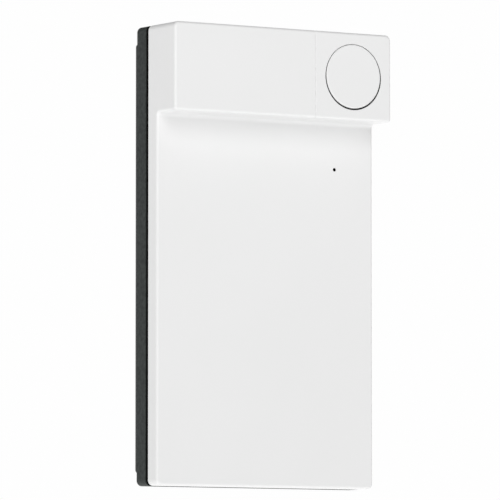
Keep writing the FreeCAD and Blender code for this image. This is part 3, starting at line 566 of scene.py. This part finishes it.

# %% [markdown]
# The button's cap rides a little high in its bore, so the joint is widest below and thinnest at
# the top. A thin black ring of painted shade fills it just behind the face, and the cap slides
# through it. The cap's radius is read from its stop flange, which is the tallest thing on it.

# %% black ring of painted shade round the button
FLANGE_STEP = 1.2 * MM
BORE_GAP, BORE_LOWER = 0.36 * MM, 0.24 * MM
SHADE_RING_SINK, SHADE_RING_END = 0.15 * MM, 1.9 * MM
SHADE_RING_CLEAR = 0.02 * MM
header_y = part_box("front_cover")[0].y
cap_low, cap_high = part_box("push_button")
cap_middle = (cap_low + cap_high) / 2
cap_radius = (cap_high.z - cap_low.z) / 2 - FLANGE_STEP
bore = circle(cap_middle.x, cap_middle.z - BORE_LOWER, cap_radius + BORE_GAP - SHADE_RING_CLEAR)
cap_edge = circle(cap_middle.x, cap_middle.z, cap_radius + SHADE_RING_CLEAR)
# This ring is painted shade that darkens the button's joint.
adopt(band("button_painted_shade_ring", bore, cap_edge, header_y + SHADE_RING_SINK, header_y + SHADE_RING_END),
      "unit", rubber_and_painted_shade)

# %% [markdown]
# Behind the pin-hole sits the camera. A black sleeve of painted shade reaches from its barrel into
# the hole, so that the pin-hole reads dark. It is shaped as if on a lathe: each radius and depth
# of a short profile gives one circle, and a bore for the lens is left open in the middle.

# %% black sleeve of painted shade in the pin-hole
NOSE_SINK, PANEL_TO_BARREL = 0.15 * MM, 2.7 * MM
NOSE_RADIUS, NOSE_BORE, NOSE_STRAIGHT = 0.69 * MM, 0.35 * MM, 0.4 * MM
NOSE_FOOT, NOSE_FOOT_BORE = 1.3 * MM, 1.04 * MM
NOSE_SIDES = 32
barrel_low, barrel_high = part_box("camera_barrel")
nose_middle = (barrel_low + barrel_high) / 2
nose_front = barrel_low.y - PANEL_TO_BARREL + NOSE_SINK
nose_neck = nose_front + NOSE_STRAIGHT
nose_profile = ((NOSE_BORE, nose_front), (NOSE_RADIUS, nose_front), (NOSE_RADIUS, nose_neck),
                (NOSE_FOOT, barrel_low.y), (NOSE_FOOT_BORE, barrel_low.y), (NOSE_BORE, nose_neck))
nose_outlines = [(circle(nose_middle.x, nose_middle.z, radius, NOSE_SIDES), y)
                 for radius, y in nose_profile]
# This sleeve is painted shade that darkens the pin-hole.
adopt(sleeve("pinhole_shade_sleeve", nose_outlines, smooth=True), "unit", rubber_and_painted_shade)

# %% [markdown]
# A white object on white needs a surround with just enough difference between directions to tell
# its faces apart. This one is a plain room of greys: a bright lower half, a bright wall behind, a
# dark ceiling that draws a thin line along the top edge, and a darker curtain to the right that
# does the same for the upright edges on that side. The direction of each ray is the texture
# coordinate, so the whole room is one short formula.

# %% surround
CEILING, HORIZON = 0.28, 0.992
CEILING_STARTS, CEILING_FULL = -0.02, 0.25
WALL_RAISES = 0.16
CURTAIN, CURTAIN_STARTS, CURTAIN_FULL = 0.45, 0.62, 0.92
world = bpy.data.worlds.new("studio")
bpy.context.scene.world = world
world.use_nodes = True
sky = Socket(world.node_tree)
toward = sky.node("TexCoord", take=0)
side, back, height = (toward.axis(number) for number in range(3))
upper = (height - back * WALL_RAISES).between(CEILING_STARTS, CEILING_FULL, HORIZON, CEILING)
curtain = side.between(CURTAIN_STARTS, CURTAIN_FULL, 1.0, CURTAIN)
background = world.node_tree.nodes["Background"]
world.node_tree.links.new((upper * curtain).output, background.inputs["Color"])
print("surround from", CEILING, "overhead to", HORIZON, "at the horizon")

# %% [markdown]
# The floor is a pale lit stage. It shines a little by itself, like a white table over a lamp, and
# throws light up under the header, so that the underside is as bright as the front. It lies far
# enough below for a camera to look up at the unit from under it.

# %% floor
FLOOR_DROP, FLOOR_HALF = 2.6, 14.0
FLOOR_GLOW, FLOOR_CLOUD_MM, FLOOR_SHADES = 1.0, 900, (0.90, 0.93)
floor_mesh = bmesh.new()
bmesh.ops.create_grid(floor_mesh, x_segments=1, y_segments=1, size=FLOOR_HALF)
floor = finish_mesh("studio_floor", floor_mesh, smooth=False)
floor.location.z = -FLOOR_DROP
floor_finish = Finish("studio_floor", Roughness=0.9, Emission_Strength=FLOOR_GLOW)
pale = floor_finish.mask(floor_finish.noise(FLOOR_CLOUD_MM, detail=2), 0.3, 0.7, *FLOOR_SHADES)
floor_finish.put("Base Color", pale)
floor_finish.put("Emission Color", pale)
floor.data.materials.append(floor_finish.material)
print("floor is", FLOOR_DROP, "m below the middle of the unit")

# %% [markdown]
# One wide window of light stands to the left of the visitor and above the unit. It lifts the front
# faces over the sides, and the rounded upright edges, which face it squarely, carry the brightest
# lines.

# %% window light
WINDOW_LEFT_DEG, WINDOW_ABOVE_DEG = 26.0, 24.0
WINDOW_DISTANCE, WINDOW_SIZE = 1.9, 1.1
WINDOW_POWER = 16.2


def sight(left_deg, below_deg):
    """The direction in which something looks that stands to the left and below."""
    left, below = math.radians(left_deg), math.radians(below_deg)
    level = math.cos(below)
    return Vector((math.sin(left) * level, math.cos(left) * level, math.sin(below)))


def area_light(name, direction, distance, size, power):
    """A square soft light that looks along a direction at the middle of the unit."""
    data = bpy.data.lights.new(name, "AREA")
    data.shape, data.size, data.energy = "SQUARE", size, power
    lamp = bpy.data.objects.new(name, data)
    lamp.location = -direction * distance
    lamp.rotation_euler = direction.to_track_quat("-Z", "Y").to_euler()
    bpy.context.scene.collection.objects.link(lamp)
    print("light", name, "at", [round(x, 2) for x in lamp.location])


area_light("window", sight(WINDOW_LEFT_DEG, -WINDOW_ABOVE_DEG), WINDOW_DISTANCE, WINDOW_SIZE,
           WINDOW_POWER)

# %% [markdown]
# The camera stands low and to the left, far away behind a long lens, so that upright lines stay
# nearly parallel. Its place is given by two angles and a distance from a point inside the header,
# at the middle of the unit. It is then turned a hair aside, which sets the unit off centre.

# %% camera
LENS_MM = 403.5
LEFT_DEG, BELOW_DEG = 32.35, 4.03
CAMERA_DISTANCE = 2.1955
TURN_ASIDE_DEG, TURN_UP_DEG = 0.141, 0.091
CLIP_END_M = 100
AIM_BEHIND_FRONT = 15 * MM
aim = Vector((0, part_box("front_cover")[0].y + AIM_BEHIND_FRONT, 0))

camera_data = bpy.data.cameras.new("camera")
camera_data.lens = LENS_MM
camera_data.clip_end = CLIP_END_M
camera = bpy.data.objects.new("camera", camera_data)
camera.location = aim - sight(LEFT_DEG, BELOW_DEG) * CAMERA_DISTANCE
looking = sight(LEFT_DEG - TURN_ASIDE_DEG, BELOW_DEG + TURN_UP_DEG)
camera.rotation_euler = looking.to_track_quat("-Z", "Y").to_euler()
bpy.context.scene.collection.objects.link(camera)
bpy.context.scene.camera = camera
bpy.context.scene.view_settings.view_transform = "Standard"
print("camera at", [round(x, 3) for x in camera.location])
